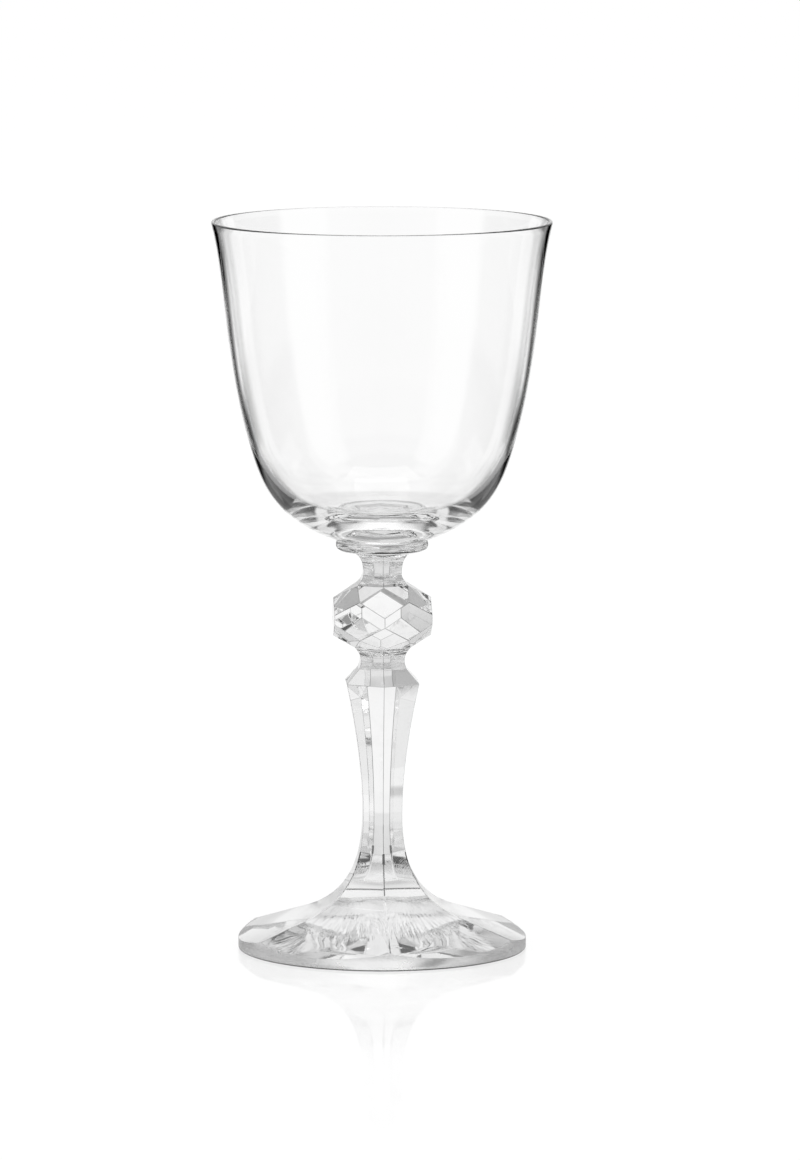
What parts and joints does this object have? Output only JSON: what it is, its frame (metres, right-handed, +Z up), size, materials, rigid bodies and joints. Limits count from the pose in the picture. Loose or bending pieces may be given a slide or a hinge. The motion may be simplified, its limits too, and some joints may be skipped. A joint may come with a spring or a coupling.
{
  "type": "nick and nora glass",
  "caption": "Stemmed cocktail glass: wide U-shaped bowl with a flared rim, on a six-sided stem with a faceted knop and a panelled round foot.",
  "frame": {"origin": "centre of the circle that the foot stands on", "axes": "+Z up along the axis of the stem and bowl; a ridge of the six-sided stem faces -Y"},
  "size_m": [0.072, 0.072, 0.155],
  "materials": {
    "blown_glass": "clear colourless blown glass, fire-polished",
    "cut_glass": "clear colourless pressed and cut glass, polished facets"
  },
  "bodies": {
    "root": {"bowl": "blown_glass", "collar": "cut_glass", "neck": "cut_glass", "knop": "cut_glass", "shank": "cut_glass", "foot": "cut_glass"}
  },
  "joints": []
}
